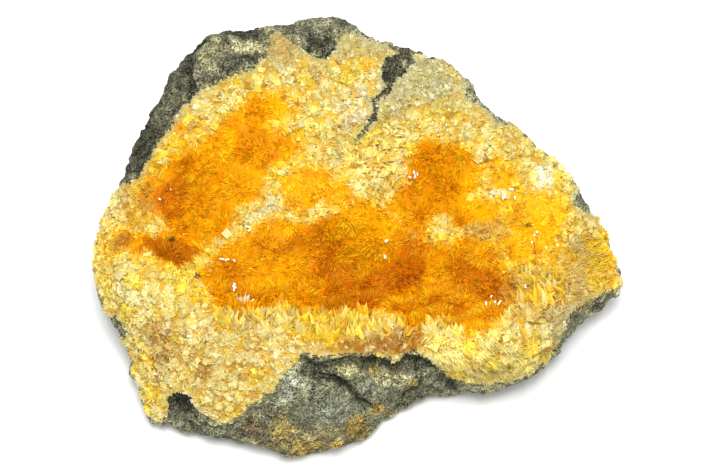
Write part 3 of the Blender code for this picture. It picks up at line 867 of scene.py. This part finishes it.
# clearing: below 1, a crystal's own colour is paler than the crust's
lookColumns = (
    "roughness", "ior", "specular", "glint", "cloudiness", "clearing", "transmission", "absorption"
)
calciteLooks = {
    "milk": (0.3, 1.49, 0.12, (1, 0.85, 0.4, 1), (0.86, 1.12), 0.85),      # cloudy crystals
    "silk": (0.5, 1.49, 0.08, (1, 0.7, 0.1, 1), (0.95, 1.05), 0.72),       # those in the pockets
    "face": (0.2, 1.6, 0.5, (1, 1, 1, 1), (0.97, 1.0), 1.0),               # clean cleavage faces
    "clear": (   # see-through crystals on the ridges
        0.08, 1.49, 0.4, (1, 0.9, 0.6, 1), (0.9, 1.08), 0.65, 0.6, ((1.0, 0.8, 0.4, 1), 700)
    ),
    "amber": (   # and in the pockets
        0.3, 1.49, 0.1, (1, 0.7, 0.1, 1), (0.95, 1.05), 0.75, 0.5, ((1.0, 0.6, 0.06, 1), 900)
    ),
}
calciteLooks = {kind: dict(zip(lookColumns, row)) for kind, row in calciteLooks.items()}
cloudSize = 0.6            # mm
cloudSeen = (0.3, 0.7)     # what is seen of the noise


def calciteMaterial(kind):
    look = calciteLooks[kind]
    material, tree, shader = newMaterial("calcite_" + kind, look["roughness"])
    cloud = patternOf(tree, "ShaderNodeTexNoise", cloudSize, Detail=2).outputs["Fac"]
    light = rangeOf(tree, cloud, cloudSeen, look["cloudiness"])
    colour = blendOf(tree, "MULTIPLY", 1, tintOf(tree), light)
    tree.links.new(colour, shader.inputs["Base Color"])
    shader.inputs["IOR"].default_value = look["ior"]
    shader.inputs["Specular IOR Level"].default_value = look["specular"]
    shader.inputs["Specular Tint"].default_value = look["glint"]
    if "transmission" in look:      # the others are cloudy all through
        shader.inputs["Transmission Weight"].default_value = look["transmission"]
        absorb = tree.nodes.new("ShaderNodeVolumeAbsorption")
        absorb.inputs["Color"].default_value = look["absorption"][0]
        absorb.inputs["Density"].default_value = look["absorption"][1]
        tree.links.new(absorb.outputs["Volume"], tree.nodes["Material Output"].inputs["Volume"])
    return material


calcite = {kind: calciteMaterial(kind) for kind in calciteLooks}


def buildBed():
    # the grown-together foot of the crystals
    bm = skin.copy()
    size, height = crust["bedRoughness"]
    moveTo(bm, known.moved(bedLift + height * noiseAt(known.points, size, 9.2)))
    number = bm.verts.layers.int.new("number")
    for index, vert in enumerate(bm.verts):
        vert[number] = index
    outside = [f for f in bm.faces if min(known.reach[v.index] for v in f.verts) <= 0]
    bmesh.ops.delete(bm, geom=outside, context="FACES")
    back = bmesh.ops.extrude_face_region(bm, geom=bm.faces[:], use_keep_orig=True)["geom"]
    under = known.moved(np.full(len(known.points), -crust["thickness"]))
    for vert in back:
        if isinstance(vert, bmesh.types.BMVert):
            vert.co = under[vert[number]]
    bmesh.ops.recalc_face_normals(bm, faces=bm.faces)
    order = np.array([v[number] for v in bm.verts])
    mesh = meshOf(bm, "bed")
    mesh.shade_smooth()
    # the bed between the crystals takes their painted root shade
    bedTint = (skinTint * rootShadeTone) ** calciteLooks["milk"]["clearing"]
    setTint(mesh, bedTint[order])
    piece = asPiece("calcite_bed", mesh, calcite["milk"])
    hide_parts("calcite_crust")


buildBed()
print("bed built")


def unitShape(kind):
    # a closed crystal one unit long that stands on z = 0, with corners and triangles as arrays
    bm = bmesh.new()
    if kind in ("plate", "rhomb"):
        bmesh.ops.create_cube(bm, size=1)
        if kind == "rhomb":      # stands on a corner
            diagonal = Vector((1, 1, 1)).rotation_difference(Vector((0, 0, 1)))
            bmesh.ops.rotate(bm, verts=bm.verts, matrix=diagonal.to_matrix())
    else:
        sides = {"grain": 3, "blade": 4, "tooth": 6}[kind]
        bmesh.ops.create_cone(bm, cap_ends=False, segments=sides, radius1=0.5, radius2=0, depth=0.7)
        ring = [v for v in bm.verts if v.is_boundary]
        base = bmesh.ops.contextual_create(bm, geom=[e for e in bm.edges if e.is_boundary])["faces"]
        bmesh.ops.poke(bm, faces=base, offset=0.35 if kind == "grain" else 0.3)
        if kind == "tooth":
            ring.sort(key=lambda v: math.atan2(v.co.y, v.co.x))
            for index, vert in enumerate(ring):
                vert.co.z += 0.1 if index % 2 else -0.1
    bmesh.ops.triangulate(bm, faces=bm.faces)
    bmesh.ops.recalc_face_normals(bm, faces=bm.faces)
    bm.verts.index_update()
    corners = np.array([v.co[:] for v in bm.verts])
    triangles = np.array([[v.index for v in f.verts] for f in bm.faces])
    bm.free()
    corners[:, 2] -= corners[:, 2].min()
    corners[:, 2] /= corners[:, 2].max()
    corners[:, :2] /= np.linalg.norm(corners[:, :2], axis=1).max() * 2
    return corners, triangles


# lengths are in mm, slim is width over length, flat is thickness over width, where is how many
# stand on the ridges and in the pockets, fan is how far they lean out of their clump,
# and sunk is the share of the length below the foot
crystalColumns = (
    "shape", "look", "count", "length", "slim", "flat", "where", "fan", "jitter", "sunk"
)
crystalKinds = {
    "blocks": ("rhomb", "milk", 15500, (1, 3.4), (0.6, 1.2), (0.5, 1), (1, 0.01), 0.8, 0.45, 0.76),
    "grains": ("grain", "milk", 9000, (0.6, 1.2), (0.7, 1.1), (0.7, 1), (1, 0.03), 0.8, 0.6, 0.45),
    "points": (
        "tooth", "milk", 9000, (1.6, 3.6), (0.28, 0.55), (0.4, 0.8), (1, 0.03), 1.8, 0.25, 0.58
    ),
    "teeth": ("tooth", "clear", 1400, (1, 2.4), (0.3, 0.5), (0.6, 1), (1, 0.03), 1, 0.4, 0.45),
    "sprays": (
        "tooth", "amber", 1000, (1.8, 3.6), (0.16, 0.3), (0.4, 0.8), (0, 1), 1.5, 0.22, 0.5
    ),
    "petals": (
        "tooth", "silk", 13000, (1.8, 4.4), (0.34, 0.6), (0.3, 0.55), (0, 1), 1.5, 0.18, 0.68
    ),
    "threads": ("blade", "silk", 11000, (1.6, 3.4), (0.14, 0.24), (0.5, 1), (0, 1), 1.5, 0.2, 0.6),
    "felt": ("grain", "silk", 9000, (1.4, 2.8), (0.16, 0.28), (0.6, 1), (0, 1), 1.3, 0.25, 0.58),
    "blades": (
        "tooth", "milk", 1700, (2.2, 5.2), (0.44, 0.8), (0.26, 0.45), (1, 0.5), 0.6, 0.3, 0.34
    ),
    "large": ("tooth", "milk", 6, (5.5, 8), (0.36, 0.46), (0.5, 0.8), (1, 1), 0.2, 0.12, 0.35),
    "strands": ("tooth", "milk", 2800, (2, 5), (0.12, 0.24), (0.5, 1), (1, 0.3), 0.4, 0.16, 0.5),
}
crystalRows = {
    "blades": ("nearLeft", "near", "nearRight", "right", "burst"),
    "large": ("yellow",),
    "strands": ("lowerRight", "farRight"),
}
rowPlaces = {   # where long crystals stand: place, half sizes and the way they point on the plane
    "nearLeft": (-27, -20.5, 12, 4, 0.0, 0.8), "near": (-3, -24, 13, 4.5, 0.0, 0.9),
    "nearRight": (18, -25, 10, 4, 0.2, 0.8), "lowerRight": (30, -32, 14, 6, 1.4, -0.9),
    "right": (45, -16, 9, 7, -0.4, 0.5), "farRight": (60, -8, 6, 10, 0.5, 0.2),
    "burst": (3, 25, 9, 8, 0.0, 0.4), "yellow": (48, -16.5, 2.0, 1.4, -0.5, 1.8),
}
growth = {   # what all kinds share
    "least": 0.1,            # mm inside the edge of the calcite where they start
    "between": 0.3,          # how many stand between clumps, against 1 in their middles
    "betweenWidth": 0.25,
    "rowEdge": (0.7, 1.1),   # a row is whole inside the first and gone beyond the second
    "scatter": 0.5,          # mm
    "upright": 0.3,          # the least that they stand up from the surface
    "sizeCurve": 1.5,        # above 1, there are more small ones than large ones
    "edgeLength": (0.45, 3.5),      # their length at the crust's edge, and mm to where it is whole
    "creviceLength": (0.65, 0.35),
    "paleShare": 0.8,
    "paleCurve": 3,
    "deepOnes": 0.06,
    "deepCalm": 0.7,         # how much rarer those are in the pockets
    "deepShare": 0.7,
    "vary": 0.08,            # how much their brightness differs on the ridges
    "pocketVary": {"petals": 0.08},      # and in the pockets, where the others have
    "pocketCalm": 0.025,
    # random brightness per facet, a painted sparkle
    "facetSparkleVary": 0.85,
    # how much painted shade a crystal's root takes
    "rootShadeShare": 0.5,
}


def unit(rows):
    return rows / np.maximum(np.linalg.norm(rows, axis=1, keepdims=True), 1e-9)


def joinedCrystals(name, points, triangles):
    faces = triangles[None] + (np.arange(len(points)) * points.shape[1])[:, None, None]
    mesh = bpy.data.meshes.new(name)
    mesh.from_pydata(points.reshape(-1, 3), [], faces.reshape(-1, 3))
    return mesh


def buildCrystals(name, seed):
    kind = dict(zip(crystalColumns, crystalKinds[name]))
    rng = np.random.default_rng(seed)
    able = np.flatnonzero(known.reach > growth["least"])
    onRidges, inPockets = kind["where"]
    weight = onRidges * (1 - skinPocket[able]) + inPockets * skinPocket[able]
    between = growth["between"]
    weight *= between + (1 - between) * smoothStep(0, growth["betweenWidth"], clumped.depth[able])
    pointing = np.zeros((len(known.points), 3))
    if name in crystalRows:
        inRow = np.zeros(len(known.points))
        for row in crystalRows[name]:
            *place, across, up = rowPlaces[row]
            share = 1 - smoothStep(*growth["rowEdge"], spotReach(known.plane, *place))
            inRow = np.maximum(inRow, share)
            pointing += share[:, None] * (rightward * across + upward * up)
        weight *= inRow[able]
    crowded = kind["count"] > (weight > 0).sum() / 2
    chosen = rng.choice(able, kind["count"], replace=crowded, p=weight / weight.sum())
    count = len(chosen)
    calm = skinPocket[chosen]
    pocketVary = growth["pocketVary"].get(name, growth["pocketCalm"])
    normal = known.normals[chosen]
    across = unit(np.cross(normal, rng.normal(size=(count, 3))))
    foot = known.points[chosen] + across * (rng.uniform(0, growth["scatter"], (count, 1)) * mm)
    foot += normal * (bedLift[chosen] * mm)[:, None]
    nearest = clumped.nearest[chosen]
    away = foot - clumped.middles[nearest]
    away -= normal * np.einsum("ij,ij->i", away, normal)[:, None]
    lean = away / (clumped.room[nearest] * mm)[:, None] * kind["fan"] * 2
    axis = unit(normal + lean + pointing[chosen] + kind["jitter"] * rng.normal(size=(count, 3)))
    short = growth["upright"] - np.einsum("ij,ij->i", axis, normal)
    axis = unit(axis + normal * np.maximum(0, short)[:, None])
    size = rng.uniform(0, 1, count) ** growth["sizeCurve"]
    length = kind["length"][0] + (kind["length"][1] - kind["length"][0]) * size
    for place, (least, whole) in (
        (known.reach, growth["edgeLength"]), (clumped.depth, growth["creviceLength"])
    ):
        length *= least + (1 - least) * smoothStep(0, whole, place[chosen])
    width = length * rng.uniform(*kind["slim"], count)
    thick = width * rng.uniform(*kind["flat"], count)
    side = unit(np.cross(axis, rng.normal(size=(count, 3))))
    third = np.cross(axis, side)
    corners, triangles = unitShape(kind["shape"])
    local = corners - np.array([0, 0, kind["sunk"]])
    scaled = local[None] * np.stack([width, thick, length], axis=1)[:, None] * mm
    points = foot[:, None] + np.einsum(
        "nkc,ncx->nkx", scaled, np.stack([side, third, axis], axis=1)
    )
    name = "calcite_" + name
    mesh = joinedCrystals(name, points, triangles)
    tone = skinTint[chosen] ** calciteLooks[kind["look"]]["clearing"]
    pale = rng.uniform(0, 1, count) ** growth["paleCurve"] * growth["paleShare"] * (1 - calm)
    tone = mixed(tone, linear("cream"), pale)
    deep = rng.uniform(0, 1, count) < growth["deepOnes"]
    deep = deep * (1 - growth["deepCalm"] * calm) * (1 - greyness[chosen])
    tone = mixed(tone, linear("creviceShadeAndBrown"), growth["deepShare"] * deep)
    vary = growth["vary"] * (1 - calm) + pocketVary * calm
    tone = tone * (1 + rng.normal(0, 1, count) * vary)[:, None]
    # painted shade, deepening each crystal's colour towards its root
    rootShadeShare = (1 - corners[:, 2][None, :, None]) * growth["rootShadeShare"]
    perCorner = tone[:, None] * (1 - rootShadeShare + rootShadeTone[chosen][:, None] * rootShadeShare)
    perLoop = perCorner[:, triangles.ravel()]
    # painted sparkle: each facet a little brighter or darker at random
    facetSparkle = rng.normal(0, 1, (count, len(triangles), 1)) * growth["facetSparkleVary"] * vary[:, None, None]
    facetSparkle = (1 + facetSparkle).repeat(3, axis=1)
    setTint(mesh, (perLoop * facetSparkle).reshape(-1, 3), "CORNER")
    asPiece(name, mesh, calcite[kind["look"]])
    print(name, count, "crystals", len(mesh.polygons), "triangles")


for turn, name in enumerate(crystalKinds):
    buildCrystals(name, 30 + turn)

glintShape = {
    "inside": 0.3, "scatter": 0.7, "lift": 1.1, "pocketDrop": 0.3, "tilt": 0.035,
    "long": (0.7, 1.5), "thick": 0.45, "wide": 0.6,
}
glints = (   # clean cleavage faces that catch the light: place on the plane, size and how many
    (-52.5, 9.6, 1.0, 1), (-49, 12.3, 0.8, 1), (-28.5, 1.1, 1.2, 3), (-36, -6.4, 1.2, 3),
    (-32.5, -14.4, 1.3, 4), (-28.5, -17.9, 1.0, 2), (15.7, 16, 1.2, 4), (8.8, -2.9, 1.5, 2),
    (40.8, 10.9, 1.4, 4), (46.7, -0.3, 1.2, 3), (35.7, -17.9, 1.3, 4), (44, -14.4, 0.9, 2),
    (9.9, -24.5, 0.8, 2), (-41.5, -23.3, 1.2, 3), (-43, -27, 0.9, 2), (-62.6, -9.9, 0.7, 1),
    (24, 28.5, 0.8, 2), (49, 15.5, 0.8, 3),
)


def buildGlints():
    rng = np.random.default_rng(77)
    corners, triangles = unitShape("plate")
    able = np.flatnonzero(known.reach > glintShape["inside"])
    places = []
    for u, v, size, count in glints:
        for turn in range(count):
            scatter = glintShape["scatter"] * size
            spot = (u + rng.normal(0, scatter), v + rng.normal(0, scatter))
            index = able[np.argmin(np.linalg.norm(known.plane[able] - spot, axis=1))]
            lift = glintShape["lift"] - glintShape["pocketDrop"] * skinPocket[index]
            middle = known.points[index] + known.normals[index] * lift * mm
            up = unit(np.array([[0.0, 0, 1]]) + rng.normal(0, glintShape["tilt"], (1, 3)))[0]
            side = unit(np.cross(up, rng.normal(size=(1, 3))))[0]
            third = np.cross(up, side)
            long = rng.uniform(*glintShape["long"])
            sizes = size * np.array([long, glintShape["thick"], glintShape["wide"]])
            scaled = (corners - np.array([0, 0, 0.5])) * sizes * mm
            places.append(middle + scaled @ np.stack([side, third, up]))
    points = np.array(places)
    mesh = joinedCrystals("glints", points, triangles)
    setTint(mesh, np.tile(linear("snow"), (len(mesh.vertices), 1)))
    asPiece("calcite_faces", mesh, calcite["face"])
    print("calcite_faces", len(points), "crystals")


buildGlints()
skin.free()


# floor, light and camera

studio = {
    "aim": (-1.48, 0.0, 20.0),   # mm
    "lens": 250,
    "frameWidth": 188.8,         # mm seen across the picture at the aim
    "floor": 3.0,
    "floorTone": 0.98,
    "floorRoughness": 0.9,
    "world": 0.8,
    "key": dict(place=(0, -0.2, 1.44), size=0.6, power=17),
    "fill": dict(place=(0.7, -0.9, 0.9), size=1.2, power=0.6),
}


def buildStudio():
    bm = bmesh.new()
    bmesh.ops.create_grid(bm, x_segments=2, y_segments=2, size=studio["floor"] / 2)
    floor = placed("studio_floor", meshOf(bm, "floor"))
    material, tree, shader = newMaterial("floor_white", studio["floorRoughness"])
    shader.inputs["Base Color"].default_value = (*[studio["floorTone"]] * 3, 1)
    floor.data.materials.append(material)
    world = bpy.data.worlds.new("studio")
    world.use_nodes = True
    sky = world.node_tree.nodes["Background"]
    sky.inputs["Color"].default_value = (1, 1, 1, 1)
    sky.inputs["Strength"].default_value = studio["world"]
    scene.world = world
    aim = Vector(studio["aim"]) * mm
    for name in ("key", "fill"):
        setting = studio[name]
        light = bpy.data.lights.new(name, "AREA")
        light.size = setting["size"]
        light.energy = setting["power"]
        lamp = placed(name, light)
        lamp.location = setting["place"]
        lamp.rotation_euler = (lamp.location - aim).to_track_quat("Z", "Y").to_euler()
    camera = bpy.data.cameras.new("camera")
    camera.lens = studio["lens"]
    camera.sensor_width = 36
    camera.clip_end = 20
    view = placed("camera", camera)
    distance = studio["frameWidth"] * mm * camera.lens / camera.sensor_width
    view.location = aim + Vector(outward) * distance
    view.rotation_euler = (math.radians(90 - plane["lean"]), 0, 0)
    scene.camera = view
    scene.view_settings.view_transform = "Standard"
    scene.view_settings.gamma = viewGamma
    scene.cycles.diffuse_bounces = 8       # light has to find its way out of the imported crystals


buildStudio()
